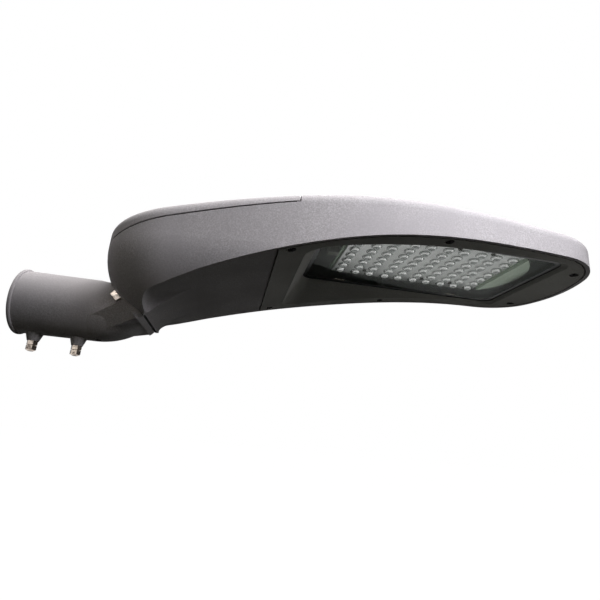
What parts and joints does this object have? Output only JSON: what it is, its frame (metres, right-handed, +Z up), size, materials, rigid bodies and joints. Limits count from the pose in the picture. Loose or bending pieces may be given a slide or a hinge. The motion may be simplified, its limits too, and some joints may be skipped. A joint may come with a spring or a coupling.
{
  "type": "led street light head",
  "caption": "Arched cast street light head with a slanted bolted pole socket, a recessed flat glass window over an LED lens array and a separate lid over its driver bay.",
  "frame": {"origin": "centre of the pole socket's mouth", "axes": "+X along the socket into the head and towards its nose, +Y to the side, +Z up, away from the glass"},
  "size_m": [0.688, 0.2694, 0.2088],
  "materials": {
    "powder_coat": "grey textured powder coat",
    "frame_coat": "dark grey powder coat",
    "seal_rubber": "matt",
    "stainless": "bright",
    "black_screw": "blackened",
    "window_glass": "clear toughened",
    "lens_plastic": "clear moulded",
    "circuit_board": "white solder mask",
    "led_chip": "phosphor",
    "bare_aluminium": "mill",
    "white_plastic": "moulded",
    "black_plastic": "moulded",
    "driver_case": "satin",
    "brass_screw": "plain"
  },
  "bodies": {
    "root": {"housing": "powder_coat", "top_cover": "powder_coat", "cover_gasket": "seal_rubber", "cover_screws": "stainless", "lens_frame": "frame_coat", "frame_gasket": "seal_rubber", "frame_screws": "black_screw", "glass": "window_glass", "glass_seal": "seal_rubber", "glass_clips": "stainless", "clip_screws": "stainless", "lens_array": "lens_plastic", "led_board": "circuit_board", "led_chips": "led_chip", "heat_spreader": "bare_aluminium", "module_screws": "stainless", "led_connector": "white_plastic", "gear_tray": "bare_aluminium", "tray_screws": "stainless", "led_driver": "driver_case", "driver_screws": "stainless", "terminal_block": "white_plastic", "surge_protector": "black_plastic", "earth_screw": "brass_screw", "wire_grommet": "seal_rubber", "spigot": "powder_coat", "flange_gasket": "seal_rubber", "flange_bolts": "stainless", "flange_washers": "stainless", "set_screws": "stainless", "lock_nuts": "stainless", "cable_gland": "black_plastic", "gland_nut": "black_plastic"}
  },
  "joints": []
}
